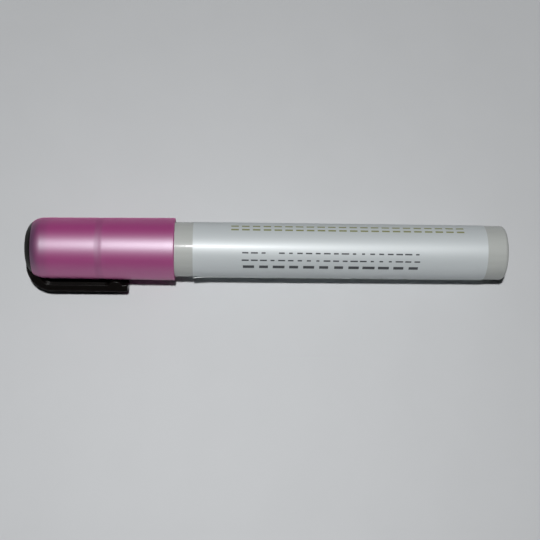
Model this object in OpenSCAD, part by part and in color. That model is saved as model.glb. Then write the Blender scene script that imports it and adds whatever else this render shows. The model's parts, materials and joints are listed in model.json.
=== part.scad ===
// Pump-action paint marker with its cap on, as it lies on a table.
// The pen's axis is X. The flat rear face is at X = 0 and the cap points along -X.
// A station is a distance from the rear face along the pen, in millimetres.

/* [Barrel] */
// Outside diameter of the barrel
barrel_d = 16; // [15:0.1:19]
// Length from the rear face to the front rim
barrel_length = 108; // [90:0.5:140]
// Thickness of the tube wall
barrel_wall = 1.3; // [1:0.05:1.6]
// Thickness of the closed rear end
barrel_floor = 2; // [1.5:0.1:4]
// Radius of the rear edge
rear_edge_r = 1.2; // [0.4:0.1:1.4]
// Bevel that leads the cap onto the front rim
rim_bevel = 0.4; // [0.1:0.05:0.6]

/* [Label] */
// Thickness of the label film
label_t = 0.08; // [0.05:0.01:0.2]
// Thickness of the glue under the label
glue_t = 0.02; // [0.01:0.01:0.05]
// Bare barrel behind the label
label_rear_margin = 6.3; // [2:0.1:20]
// Bare barrel between the label and the cap
label_front_margin = 5.35; // [1:0.05:20]
// Glued overlap of the label, in degrees round the barrel
label_lap = 30; // [10:1:60]
// Turn of the overlap's free edge below the side that carries the clip
label_lap_turn = 12; // [0:1:45]

/* [Front section] */
// Thickness of the flange that seats on the barrel's rim
flange_t = 1.6; // [1:0.1:3]
// Step from the barrel's outside in to the flange
flange_step = 0.4; // [0.2:0.05:0.8]
// Length of the land that the inner cap seals on
land_length = 5.2; // [3:0.1:8]
// Step from the barrel's outside in to the sealing land
land_step = 1.3; // [1.2:0.05:1.5]
// Length of the tapered nose
nose_length = 6.5; // [4:0.1:9]
// Bevel on the flange's rim and the nose's tip
nose_bevel = 0.3; // [0.1:0.05:0.5]
// Step from the sealing land in to the nose
nose_step = 0.4; // [0.2:0.05:0.8]
// Wall round the nib at the nose's tip
nose_tip_wall = 1.3; // [0.8:0.05:1.5]
// Length of the spigot pressed into the barrel
spigot_length = 16; // [10:0.5:20]
// Wall of the spigot
spigot_wall = 1.5; // [1:0.05:1.8]
// Ledge that the valve seat rests against
seat_ledge = 0.8; // [0.4:0.05:1.2]
// Number of ink grooves along the nib's bore
groove_count = 4; // [3:1:6]
// Width of an ink groove
groove_w = 0.8; // [0.4:0.05:1.2]
// Depth of an ink groove
groove_depth = 0.5; // [0.2:0.05:0.7]

/* [Nib] */
// Diameter of the nib
nib_d = 6; // [5:0.1:6.4]
// Length of the nib in front of the nose
nib_reach = 7; // [5:0.1:12]
// Slope of the chisel cut from the pen's axis
chisel_angle = 42; // [30:1:70]
// Width of the chisel's writing edge
chisel_edge = 0.9; // [0.5:0.1:2]
// Running clearance round the nib
nib_clearance = 0.05; // [0.01:0.01:0.1]

/* [Valve] */
// Travel of the nib when it is pumped
pump_travel = 2.5; // [1:0.1:3.5]
// Thickness of the disc that the nib pushes
pusher_t = 1.5; // [1:0.1:2.5]
// Diameter of the disc that the nib pushes
pusher_d = 5.2; // [4:0.1:6]
// Room left between the disc and the valve seat at full travel
pusher_room = 1; // [0.5:0.1:3]
// Diameter of the pin pressed into the nib
pin_d = 2; // [1.2:0.1:3]
// Length of the pin pressed into the nib
pin_length = 3; // [1.5:0.1:5]
// Diameter of the valve stem
stem_d = 2.6; // [2.2:0.1:3]
// Ink passage left round the stem in the valve seat
seat_passage = 0.9; // [0.5:0.05:1.1]
// Thickness of the valve seat
seat_t = 2; // [1.2:0.1:3]
// Thickness of the rubber valve seal
seal_t = 1.2; // [0.8:0.1:2]
// Diameter of the valve head and its seal
head_d = 6.8; // [6.5:0.1:7.4]
// Thickness of the valve head
head_t = 1.4; // [0.8:0.1:2.5]
// Diameter of the tail that guides the spring
tail_d = 1.8; // [1.2:0.1:2.4]
// Length of the tail that guides the spring
tail_length = 4; // [2:0.1:6]
// Length of the valve spring at rest
spring_length = 10.9; // [9:0.1:16]
// Mean diameter of the valve spring
spring_d = 5; // [4.2:0.1:6]
// Diameter of the spring wire
wire_d = 0.6; // [0.4:0.05:0.8]
// Number of curls in the spring
spring_turns = 6; // [4:1:7]
// Wall of the spring cage
cage_wall = 1; // [0.6:0.05:1.2]
// Thickness of the cage's end
cage_end = 1.5; // [1:0.1:2.5]
// Number of ink ports round the cage
port_count = 4; // [3:1:6]
// Width of an ink port
port_w = 2; // [1:0.1:2.6]
// Cage left whole at each end of a port
port_margin = 1.6; // [1:0.1:3]

/* [Mixing ball] */
// Diameter of the steel mixing ball
ball_d = 6.4; // [5:0.1:9]
// Station of the ball's centre as the pen lies
ball_station = 30; // [10:1:60]
// Room between the ball and the bore that it rolls in
ball_room = 0.05; // [0.02:0.01:0.1]

/* [Cap] */
// Length of barrel that the cap covers
cap_overlap = 10.5; // [6:0.1:16]
// Running clearance between the cap and the barrel
cap_clearance = 0.06; // [0.02:0.01:0.1]
// Wall of the cap at its mouth
cap_wall = 1.14; // [0.9:0.02:1.6]
// Radius of the outer edge at the cap's mouth
mouth_edge_r = 0.3; // [0.1:0.05:0.5]
// Bevel that leads the barrel into the cap's mouth
mouth_bevel = 0.25; // [0.1:0.05:0.4]
// Radius that the cap loses between its mouth and its shoulder
cap_draft = 0.33; // [0.05:0.01:0.4]
// Wall of the cap below its shoulder
cap_top_wall = 1.3; // [1.1:0.05:1.5]
// Radius of the rounded shoulder
shoulder_r = 5.3; // [3.5:0.1:5.8]
// Radius of the shallow crown on the cap's end
crown_r = 22; // [18:1:40]
// Height of the black end above the coloured shell
dome_height = 2.6; // [2.4:0.1:4]
// Thickness of the web inside the shell
web_t = 2.2; // [1:0.1:3]
// Place of the web in front of the nose's base
web_offset = 3.3; // [2.5:0.1:5]
// Depth of the sink mark that the web leaves outside
sink_depth = 0.05; // [0.02:0.01:0.15]

/* [Inner cap] */
// Wall of the inner cap
inner_wall = 0.9; // [0.7:0.05:1]
// Sealing clearance on the front section's land
seal_clearance = 0.03; // [0.01:0.01:0.08]
// Gap between the inner cap's lip and the flange
lip_gap = 0.4; // [0.2:0.05:1]
// Thickness of the inner cap's flange
inner_flange_t = 1.5; // [0.8:0.1:2]
// Length of the sealing bore past the land
seal_overrun = 1.2; // [0.6:0.1:2]
// Room round the nose's tip in the well
well_room = 1.25; // [0.6:0.05:1.4]
// Room in front of the nib in the well
head_room = 5.25; // [4.6:0.05:9]
// Clearance of the well in the web
web_clearance = 0.1; // [0.04:0.02:0.14]

/* [End plug and clip] */
// Depth of the plug's skirt inside the shell
skirt_depth = 4; // [2:0.1:6]
// Step from the inner cap's outside out to the skirt's bore
skirt_room = 0.17; // [0.05:0.01:0.4]
// Gap between the skirt and the inner cap
skirt_gap = 0.2; // [0.1:0.05:0.8]
// Width of the clip
clip_w = 5.6; // [4:0.1:7]
// Thickness of the clip's arm
clip_t = 2.1; // [1.4:0.1:2.6]
// Gap between the clip's arm and the cap's widest part
clip_gap = 1.2; // [0.9:0.05:2]
// Distance of the clip's tip from the cap's mouth
clip_tip_offset = 13.9; // [6:0.1:18]
// Outer radius of the bend at the clip's root
bend_r = 7.8; // [5:0.1:9]
// Inner radius of the bend at the clip's root
bend_fillet = 3.2; // [1.2:0.1:3.6]
// Step from the crown's top down to the clip's root
root_step = 0.4; // [0.2:0.05:0.8]
// Drop of the root's underside below the shell's top rim
root_drop = 1.5; // [0.6:0.1:2]
// Radius along the arm's outer edges
clip_edge_r = 0.3; // [0.2:0.05:0.8]
// Radius of the corners at the clip's tip
tip_r = 0.5; // [0.2:0.05:0.7]
// Gap between the grip bump under the tip and the cap's widest part
bump_room = 0.1; // [0.05:0.05:0.4]
// Length of the grip bump
bump_length = 4; // [2.4:0.1:6]
// Distance of the bump's middle from the tip
bump_offset = 3.7; // [3.1:0.1:6]
// Turn of the clip below the horizontal, where it rests on a table
clip_turn = 35; // [0:1:90]

/* [Hidden] */
$fn = 96;
wire_sides = 6;
wire_rings = 8;
// Extra length by which a cutting shape passes a face
cut = 1;

barrel_r = barrel_d / 2;
bore_r = barrel_r - barrel_wall;
glue_r = barrel_r + glue_t;
label_r = glue_r + label_t;

mouth_station = barrel_length - cap_overlap;
draft_station = mouth_station + mouth_edge_r;
label_end = mouth_station - label_front_margin;

land_station = barrel_length + flange_t;
nose_station = land_station + land_length;
nose_tip_station = nose_station + nose_length;
nib_tip_station = nose_tip_station + nib_reach;
flange_r = barrel_r - flange_step;
land_r = barrel_r - land_step;
nib_r = nib_d / 2;
nib_bore_r = nib_r + nib_clearance;
tip_outer_r = nib_bore_r + nose_tip_wall;

cavity_r = bore_r - spigot_wall;
chamber_r = cavity_r - seat_ledge;
seat_front = barrel_length - pusher_t - pump_travel - pusher_room;
seat_back = seat_front - seat_t;
head_front = seat_back - seal_t;
head_back = head_front - head_t;
cage_floor = head_back - spring_length;
cage_back = cage_floor - cage_end;
stem_r = stem_d / 2;
head_r = head_d / 2;

bore_of_cap_r = barrel_r + cap_clearance;
mouth_r = bore_of_cap_r + cap_wall;
top_r = mouth_r - cap_draft;
plug_bore_r = top_r - cap_top_wall;
seal_r = land_r + seal_clearance;
seal_end = nose_station + seal_overrun;
well_r = tip_outer_r + well_room;
well_end = nib_tip_station + head_room;
inner_end = well_end + inner_wall;
shell_end = inner_end + skirt_gap + skirt_depth;
apex = shell_end + dome_height;
web_station = nose_station + web_offset;
well_station = max(nose_tip_station, web_station + web_t);
neck_r = seal_r + (well_r - seal_r) * (web_station - seal_end) / (well_station - seal_end) + inner_wall;

crown_station = apex - crown_r;
shoulder_core = top_r - shoulder_r;
shoulder_station = crown_station + sqrt(pow(crown_r - shoulder_r, 2) - pow(shoulder_core, 2));

clip_inner = mouth_r + clip_gap;
clip_outer = clip_inner + clip_t;
clip_tip = mouth_station + clip_tip_offset;
root_top = apex - root_step;
root_bottom = shell_end - root_drop;
bump_height = clip_gap - bump_room;
bump_r = (pow(bump_length / 2, 2) + pow(bump_height, 2)) / (2 * bump_height);

spring_r = spring_d / 2;
wire_r = wire_d / 2;
spring_steps = spring_turns * wire_rings;
spring_rise = spring_length - wire_d;

// Turns a shape drawn along Z, with the clip's side at +X, into the lying pen
module lay_down() rotate([0, -90, 0]) children();

// Turns a shape drawn at +X to an angle below the horizontal on the clip's side
module turn_below(angle) rotate([0, 0, -90 - angle]) children();

// A band of the half section, from one radius to another between two stations
module band(from_r, to_r, from_station, to_station)
    translate([from_r, from_station]) square([to_r - from_r, to_station - from_station]);

module barrel() color([0.62, 0.63, 0.62]) lay_down() rotate_extrude() difference() {
    union() {
        band(0, barrel_r - rear_edge_r, 0, rear_edge_r);
        intersection() {
            translate([barrel_r - rear_edge_r, rear_edge_r]) circle(rear_edge_r);
            band(0, barrel_r, 0, rear_edge_r);
        }
        polygon([
            [0, rear_edge_r], [barrel_r, rear_edge_r], [barrel_r, barrel_length - rim_bevel],
            [barrel_r - rim_bevel, barrel_length], [0, barrel_length]
        ]);
    }
    band(0, bore_r, barrel_floor, barrel_length + cut);
}

// Cross-section of the film: one full turn, and the overlap on top of it
module label_section() difference() {
    reach = 2 * label_r;
    union() {
        circle(label_r);
        intersection() {
            circle(label_r + label_t);
            polygon([[0, 0], [reach, 0], [reach * cos(label_lap), -reach * sin(label_lap)]]);
        }
    }
    circle(glue_r);
}

module label() color([0.78, 0.79, 0.79]) lay_down() translate([0, 0, label_rear_margin])
    linear_extrude(label_end - label_rear_margin) turn_below(label_lap_turn) label_section();

module front_section() color([0.93, 0.93, 0.9]) lay_down() difference() {
    rotate_extrude() difference() {
        union() {
            band(0, bore_r, barrel_length - spigot_length, barrel_length);
            polygon([
                [0, barrel_length], [flange_r, barrel_length], [flange_r, land_station - nose_bevel],
                [flange_r - nose_bevel, land_station], [0, land_station]
            ]);
            band(0, land_r, land_station, nose_station);
            polygon([
                [0, nose_station], [land_r - nose_step, nose_station],
                [tip_outer_r, nose_tip_station - nose_bevel],
                [tip_outer_r - nose_bevel, nose_tip_station], [0, nose_tip_station]
            ]);
        }
        band(0, cavity_r, barrel_length - spigot_length - cut, seat_front);
        band(0, chamber_r, seat_front, barrel_length);
        band(0, nib_bore_r, barrel_length - cut, nose_tip_station + cut);
    }
    for (i = [0 : groove_count - 1])
        rotate([0, 0, i * 360 / groove_count])
            translate([0, -groove_w / 2, barrel_length - cut])
                cube([nib_bore_r + groove_depth, groove_w, nose_station - barrel_length]);
}

module nib() color([0.9, 0.88, 0.84]) lay_down() difference() {
    translate([0, 0, barrel_length]) cylinder(r = nib_r, h = nib_tip_station - barrel_length);
    translate([0, 0, barrel_length - cut]) cylinder(d = pin_d, h = pin_length + cut);
    translate([nib_r - chisel_edge, 0, nib_tip_station])
        rotate([0, 180 + chisel_angle, 0])
            translate([0, -nib_d, -nib_d * 2]) cube([nib_d * 2, nib_d * 2, nib_d * 4]);
}

module valve_seat() color([0.85, 0.86, 0.84]) lay_down() rotate_extrude() difference() {
    band(stem_r + seat_passage, cavity_r, seat_back, seat_front);
    polygon([
        [stem_r, seat_front - seat_t / 2], [stem_r + seat_passage, seat_front - seat_t / 2],
        [stem_r + seat_passage + seat_t / 2, seat_front], [stem_r, seat_front]
    ]);
}

module valve_stem() color([0.2, 0.45, 0.7]) lay_down() rotate_extrude() {
    band(0, tail_d / 2, head_back - tail_length, head_back);
    band(0, head_r, head_back, head_front);
    band(0, stem_r, head_front, barrel_length - pusher_t);
    band(0, pusher_d / 2, barrel_length - pusher_t, barrel_length);
    band(0, pin_d / 2, barrel_length, barrel_length + pin_length);
}

module valve_seal() color([0.1, 0.1, 0.1]) lay_down() rotate_extrude()
    band(stem_r, head_r, head_front, seat_back);

// Centre of the spring wire at a step along the helix
function wire_turn(step) = step * 360 / wire_rings;
function wire_centre(step) = [
    spring_r * cos(wire_turn(step)),
    spring_r * sin(wire_turn(step)),
    cage_floor + wire_r + spring_rise * step / spring_steps
];

// Point on the wire's skin: one side of the ring at a step
function wire_point(step, side) =
    let (
        around = wire_turn(step),
        slope = atan2(spring_rise, spring_turns * 360 * PI / 180 * spring_r),
        outward = [cos(around), sin(around), 0],
        upward = [sin(around) * sin(slope), -cos(around) * sin(slope), cos(slope)],
        angle = side * 360 / wire_sides
    )
    wire_centre(step) + wire_r * (cos(angle) * outward + sin(angle) * upward);

spring_gap = min([
    for (a = [0 : spring_steps]) for (b = [a + wire_rings / 2 : 1 : spring_steps])
        norm(wire_centre(b) - wire_centre(a)) - wire_d
]);
echo(least_gap_between_curls = spring_gap, overall_length = apex);

module valve_spring() color([0.75, 0.76, 0.78]) lay_down() {
    points = [
        for (step = [0 : spring_steps]) for (side = [0 : wire_sides - 1]) wire_point(step, side)
    ];
    last = spring_steps * wire_sides;
    faces = concat(
        [for (step = [0 : spring_steps - 1]) for (side = [0 : wire_sides - 1])
            [step * wire_sides + side, (step + 1) * wire_sides + side,
                step * wire_sides + (side + 1) % wire_sides]],
        [for (step = [0 : spring_steps - 1]) for (side = [0 : wire_sides - 1])
            [step * wire_sides + (side + 1) % wire_sides, (step + 1) * wire_sides + side,
                (step + 1) * wire_sides + (side + 1) % wire_sides]],
        [for (side = [1 : wire_sides - 2]) [0, side, side + 1]],
        [for (side = [1 : wire_sides - 2]) [last, last + side + 1, last + side]]
    );
    polyhedron(points, faces);
}

module spring_cage() color([0.85, 0.86, 0.84]) lay_down() difference() {
    rotate_extrude() difference() {
        band(0, cavity_r, cage_back, seat_back);
        band(0, cavity_r - cage_wall, cage_floor, seat_back + cut);
    }
    for (i = [0 : port_count - 1])
        rotate([0, 0, i * 360 / port_count])
            translate([0, -port_w / 2, cage_floor + port_margin])
                cube([cavity_r + cut, port_w, spring_length - 2 * port_margin]);
}

module mixing_ball() color([0.72, 0.73, 0.75]) lay_down()
    translate([ball_d / 2 + ball_room - bore_r, 0, ball_station]) sphere(d = ball_d);

// Half section of the whole capped end: drafted side, rounded shoulder and shallow crown
module cap_outline() {
    band(0, mouth_r - mouth_edge_r, mouth_station, draft_station);
    translate([mouth_r - mouth_edge_r, draft_station]) circle(mouth_edge_r);
    polygon([
        [0, draft_station], [mouth_r, draft_station],
        [top_r, shoulder_station], [0, shoulder_station]
    ]);
    intersection() {
        union() {
            band(0, shoulder_core, shoulder_station, apex);
            translate([shoulder_core, shoulder_station]) circle(shoulder_r);
        }
        translate([0, crown_station]) circle(crown_r);
        band(0, top_r, shoulder_station, apex);
    }
}

// Shallow round-bottomed ring that the web leaves in the shell's outside
module sink_mark() {
    ring_r = (pow(web_t / 2, 2) + pow(sink_depth, 2)) / (2 * sink_depth);
    along = web_station + web_t / 2;
    side_r = mouth_r - cap_draft * (along - draft_station) / (shoulder_station - draft_station);
    translate([side_r - sink_depth + ring_r, along]) circle(ring_r);
}

module cap_shell() color([0.6, 0.28, 0.46]) lay_down() rotate_extrude() difference() {
    intersection() {
        cap_outline();
        band(0, mouth_r, mouth_station, shell_end);
    }
    polygon([
        [0, mouth_station - cut], [bore_of_cap_r + mouth_bevel + cut, mouth_station - cut],
        [bore_of_cap_r, mouth_station + mouth_bevel], [bore_of_cap_r, web_station], [0, web_station]
    ]);
    band(0, neck_r + web_clearance, web_station, web_station + web_t);
    band(0, plug_bore_r, web_station + web_t, shell_end + cut);
    sink_mark();
}

module inner_cap() color([0.95, 0.95, 0.93]) lay_down() rotate_extrude() difference() {
    union() {
        band(0, seal_r + inner_wall, land_station + lip_gap, web_station);
        band(0, bore_of_cap_r, web_station - inner_flange_t, web_station);
        polygon([
            [0, web_station], [neck_r, web_station], [neck_r, web_station + web_t],
            [well_r + inner_wall, well_station], [well_r + inner_wall, inner_end], [0, inner_end]
        ]);
    }
    band(0, seal_r, land_station, seal_end);
    polygon([[0, seal_end], [seal_r, seal_end], [well_r, well_station], [0, well_station]]);
    band(0, well_r, well_station, well_end);
}

// Side view of the clip's arm, bend and root, with radius along X and stations along Y
module clip_side() {
    difference() {
        union() {
            band(0, clip_outer - tip_r, clip_tip, root_top - bend_r);
            band(0, clip_outer, clip_tip + tip_r, root_top - bend_r);
            translate([clip_outer - tip_r, clip_tip + tip_r]) circle(tip_r);
            translate([clip_outer - bend_r, root_top - bend_r]) circle(bend_r);
            band(0, clip_outer - bend_r, root_top - bend_r, root_top);
        }
        band(-cut, clip_inner, clip_tip - cut, root_bottom - bend_fillet);
        band(-cut, clip_inner - bend_fillet, clip_tip - cut, root_bottom);
        translate([clip_inner - bend_fillet, root_bottom - bend_fillet]) circle(bend_fillet);
    }
    intersection() {
        translate([clip_inner + bump_r - bump_height, clip_tip + bump_offset]) circle(bump_r);
        band(0, clip_inner + clip_t / 2, clip_tip, root_bottom);
    }
}

// End view of the clip's arm, with its outer edges rounded
module clip_end() {
    half = clip_w / 2;
    translate([0, -half]) square([clip_outer - clip_edge_r, clip_w]);
    translate([0, clip_edge_r - half]) square([clip_outer, clip_w - 2 * clip_edge_r]);
    for (side = [-1, 1])
        translate([clip_outer - clip_edge_r, side * (half - clip_edge_r)]) circle(clip_edge_r);
}

module clip_plug() color([0.07, 0.07, 0.08]) lay_down() {
    rotate_extrude() intersection() {
        cap_outline();
        union() {
            band(0, top_r, shell_end, apex);
            band(well_r + inner_wall + skirt_room, plug_bore_r, shell_end - skirt_depth, apex);
        }
    }
    turn_below(clip_turn) difference() {
        intersection() {
            rotate([90, 0, 0]) linear_extrude(clip_w, center = true) clip_side();
            translate([0, 0, clip_tip - cut]) linear_extrude(apex - clip_tip + 2 * cut) clip_end();
        }
        rotate_extrude() intersection() {
            cap_outline();
            band(0, mouth_r, mouth_station, shell_end);
        }
    }
}

barrel();
label();
front_section();
nib();
valve_seat();
valve_stem();
valve_seal();
valve_spring();
spring_cage();
mixing_ball();
cap_shell();
inner_cap();
clip_plug();
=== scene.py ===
"""Pump-action paint marker with its cap on, dressed for a shared library of parts.

Stations are distances from the flat rear face along the pen, in millimetres. The pen's axis is X, and a
station s lies at X = -s. A turn is an angle round the axis, measured from -Y, and grows downwards.
"""

import json
import math
from types import SimpleNamespace

import bmesh
import bpy
from mathutils import Matrix, Vector


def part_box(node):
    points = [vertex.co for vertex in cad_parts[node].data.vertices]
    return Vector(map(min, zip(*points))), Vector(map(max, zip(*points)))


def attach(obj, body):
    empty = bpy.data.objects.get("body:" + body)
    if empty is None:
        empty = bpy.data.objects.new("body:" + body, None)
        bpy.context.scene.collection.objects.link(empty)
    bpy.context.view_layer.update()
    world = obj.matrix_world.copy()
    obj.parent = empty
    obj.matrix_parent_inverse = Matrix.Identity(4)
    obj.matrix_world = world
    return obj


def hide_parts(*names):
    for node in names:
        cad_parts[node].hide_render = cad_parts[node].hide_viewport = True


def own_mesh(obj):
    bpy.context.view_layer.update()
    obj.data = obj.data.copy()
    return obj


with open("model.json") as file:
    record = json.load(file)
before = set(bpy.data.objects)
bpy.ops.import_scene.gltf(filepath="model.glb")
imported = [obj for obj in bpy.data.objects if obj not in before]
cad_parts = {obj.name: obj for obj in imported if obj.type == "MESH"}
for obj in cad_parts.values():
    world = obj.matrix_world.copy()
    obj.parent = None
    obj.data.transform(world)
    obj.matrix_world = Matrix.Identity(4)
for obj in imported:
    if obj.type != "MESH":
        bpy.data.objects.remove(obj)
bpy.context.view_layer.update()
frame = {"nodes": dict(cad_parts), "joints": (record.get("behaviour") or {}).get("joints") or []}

bl_info = {
    "name": "Paint Marker",
    "version": (1, 0, 0),
    "blender": (4, 5, 0),
    "location": "View3D > Sidebar > Marker",
    "description": "Builds a capped pump-action paint marker on its packed frame",
    "category": "Object",
}

# One millimetre in Blender's metres
MM = 0.001
# Points round a turned piece
AROUND = 160
# Points closer than this, in metres, are one
MERGE = 1e-7
# A radius below this, in millimetres, lies on the axis
ON_AXIS = 1e-6
# Gap in millimetres that keeps two skins from lying in the same place
SLIP = 0.004


def node_ends(node):
    """First and last station of a CAD node, in millimetres."""
    low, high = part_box(node)
    return -high[0] / MM, -low[0] / MM


def node_radius(node):
    """Half of a round CAD node's height, in millimetres."""
    low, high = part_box(node)
    return (high[2] - low[2]) / 2 / MM


def length(name, description, default):
    """A size that a user may change. Its default is given in millimetres and kept in metres."""
    return bpy.props.FloatProperty(
        name=name, description=description, default=default * MM, precision=5, subtype="DISTANCE"
    )


def angle(name, description, default):
    """An angle that a user may change. Its default is given in degrees and kept in radians."""
    return bpy.props.FloatProperty(
        name=name, description=description, default=math.radians(default), subtype="ANGLE"
    )


def to_linear(level):
    """Linear light, from 0 to 1, of an 8-bit sRGB level."""
    share = level / 255
    dark_end, dark_slope, offset, power = 0.04045, 12.92, 0.055, 2.4
    return ((share + offset) / (1 + offset)) ** power if share > dark_end else share / dark_slope


def colour(name, description, *levels):
    """A colour that a user may change. Its default is given as 8-bit sRGB and kept as linear light."""
    linear = [to_linear(level) for level in levels]
    return bpy.props.FloatVectorProperty(
        name=name, description=description, default=linear, size=3, subtype="COLOR", min=0, max=1
    )


class MarkerSizes(bpy.types.PropertyGroup):
    """Sizes of the marker's visible pieces."""

    barrel_r: length("Barrel radius", "Outside radius of the barrel", node_radius("barrel"))
    barrel_end: length("Barrel length", "Station of the barrel's front rim", node_ends("barrel")[1])
    bore_r: length("Bore radius", "Inside radius of the barrel", 6.7)
    floor_t: length("Floor", "Thickness of the barrel's closed end", 2.0)
    rear_edge: length("Rear edge", "Radius of the barrel's rear edge", 1.2)
    glue_t: length("Glue", "Thickness of the glue under the label film", 0.02)
    film_t: length("Film", "Thickness of the label film", 0.08)
    film_start: length("Label start", "Station of the label's rear end", node_ends("label")[0])
    film_end: length("Label end", "Station of the label's front end", node_ends("label")[1])
    film_lift: length("Lifted corner", "Height of the label's lifted front corner", 0.34)
    mouth: length("Cap mouth", "Station of the cap's mouth", node_ends("cap_shell")[0])
    mouth_r: length("Mouth radius", "Outside radius at the cap's mouth", node_radius("cap_shell"))
    top_r: length("Top radius", "Outside radius below the cap's shoulder", 8.87)
    shoulder_r: length("Shoulder", "Radius of the cap's rounded shoulder", 5.3)
    crown_r: length("Crown", "Radius of the shallow crown", 22.0)
    shell_end: length("Shell end", "Station where the coloured shell ends", node_ends("cap_shell")[1])
    apex: length("Apex", "Station of the crown's top", node_ends("clip_plug")[1])
    cap_bore_r: length("Cap bore", "Radius of the bore that takes the barrel", 8.06)
    plug_bore_r: length("Plug bore", "Radius of the bore that takes the end plug", 7.57)
    web: length("Web", "Station of the web inside the cap", 118.1)
    web_t: length("Web thickness", "Thickness of the web inside the cap", 2.2)
    sink: length("Sink mark", "Depth of the ring that the web leaves outside", 0.05)
    clip_tip: length("Clip tip", "Station of the clip's tip", node_ends("clip_plug")[0])
    clip_w: length("Clip width", "Width of the clip's arm", 5.6)
    clip_inner: length("Clip inside", "Distance of the arm's inside from the axis", 10.4)
    clip_outer: length("Clip outside", "Distance of the arm's outside from the axis", 12.5)
    rib_w: length("Rib width", "Width of the rib along the arm's inside", 1.0)
    groove_w: length("Groove width", "Width of the groove on each side of the rib", 1.6)
    groove_d: length("Groove depth", "Depth of the grooves", 0.7)
    clip_turn: angle("Clip turn", "Turn of the clip below the horizontal", 35)
    nib_r: length("Nib radius", "Radius of the nib", 3.0)
    nib_end: length("Nib end", "Station of the nib's writing edge", node_ends("nib")[1])


class MarkerColours(bpy.types.PropertyGroup):
    """Colours of the marker's finishes."""

    pearl: colour("Cap", "Pearl plastic of the cap", 140, 25, 101)
    shade: colour("Cap end", "Cap where the black plug shows through", 46, 6, 50)
    barrel: colour("Barrel", "Grey plastic of the barrel", 168, 171, 168)
    film: colour("Label", "Satin film of the label", 188, 194, 196)
    black: colour("Clip", "Black plastic of the clip and end plug", 14, 12, 11)
    ink: colour("Dark print", "Dark marks on the label", 62, 65, 68)
    olive: colour("Olive print", "Olive marks on the label", 126, 130, 84)
    white: colour("White parts", "White plastic inside", 228, 228, 222)
    stem: colour("Valve stem", "Blue plastic of the valve stem", 60, 118, 176)
    fibre: colour("Nib", "Bonded fibre of the nib, stained by paint", 206, 150, 178)
    steel: colour("Steel", "Spring and mixing ball", 190, 192, 196)
    rubber: colour("Rubber", "Valve seal", 26, 26, 28)
    table: colour("Table", "Pale table top", 192, 194, 196)


def chosen(context):
    """The panel's sizes, as plain numbers of millimetres with angles as they are, and its colours."""
    group, sizes = context.scene.marker_sizes, SimpleNamespace()
    for key in group.__annotations__:
        unit = MM if group.bl_rna.properties[key].subtype == "DISTANCE" else 1
        setattr(sizes, key, getattr(group, key) / unit)
    return sizes, context.scene.marker_colours


class Wire:
    """An output socket that can stand in an expression: operators add Math nodes."""

    def __init__(self, graph, socket):
        self.graph = graph
        self.socket = socket

    def out(self, name):
        """Another output of the same node."""
        return Wire(self.graph, self.socket.node.outputs[name])

    def maths(self, operation, *values):
        """A Math node on values and wires."""
        return self.graph.add("ShaderNodeMath", {"operation": operation}, dict(enumerate(values)))

    def __add__(self, other):
        return self.maths("ADD", self, other)

    def __radd__(self, other):
        return self.maths("ADD", other, self)

    def __sub__(self, other):
        return self.maths("SUBTRACT", self, other)

    def __rsub__(self, other):
        return self.maths("SUBTRACT", other, self)

    def __mul__(self, other):
        return self.maths("MULTIPLY", self, other)

    def __rmul__(self, other):
        return self.maths("MULTIPLY", other, self)

    def __truediv__(self, other):
        return self.maths("DIVIDE", self, other)

    def __rtruediv__(self, other):
        return self.maths("DIVIDE", other, self)

    def sin(self):
        """The sine of a wire in radians."""
        return self.maths("SINE", self)

    def cos(self):
        """The cosine of a wire in radians."""
        return self.maths("COSINE", self)

    def ease(self, start, end):
        """0 before start, 1 after end and smooth between them."""
        settings = {"interpolation_type": "SMOOTHSTEP"}
        sockets = {"Value": self, "From Min": start, "From Max": end}
        return self.graph.add("ShaderNodeMapRange", settings, sockets)


class Graph:
    """A node tree that is written node by node."""

    def __init__(self, tree):
        self.tree = tree

    def feed(self, socket, value):
        """Links a wire to a socket, or sets the socket's own value. A colour may come without its alpha."""
        if isinstance(value, Wire):
            self.tree.links.new(value.socket, socket)
        else:
            socket.default_value = (*value, 1)[:4] if socket.type == "RGBA" else value

    def add(self, kind, settings=None, sockets=None, out=0):
        """A new node: settings first, then its sockets' values or links. Gives one of its outputs."""
        node = self.tree.nodes.new(kind)
        for key, value in (settings or {}).items():
            setattr(node, key, value)
        for key, value in (sockets or {}).items():
            self.feed(node.inputs[key], value)
        return Wire(self, node.outputs[out]) if node.outputs else None

    def mix(self, factor, first, second):
        """One colour turning into another."""
        return self.add("ShaderNodeMix", {"data_type": "RGBA"}, {0: factor, 6: first, 7: second}, out=2)

    def looked_at(self):
        """1 for what the camera sees, also by way of metal or glass, and 0 for other light."""
        ray = self.add("ShaderNodeLightPath", out="Is Camera Ray")
        return ray + ray.out("Is Glossy Ray") + ray.out("Is Transmission Ray")


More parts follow.
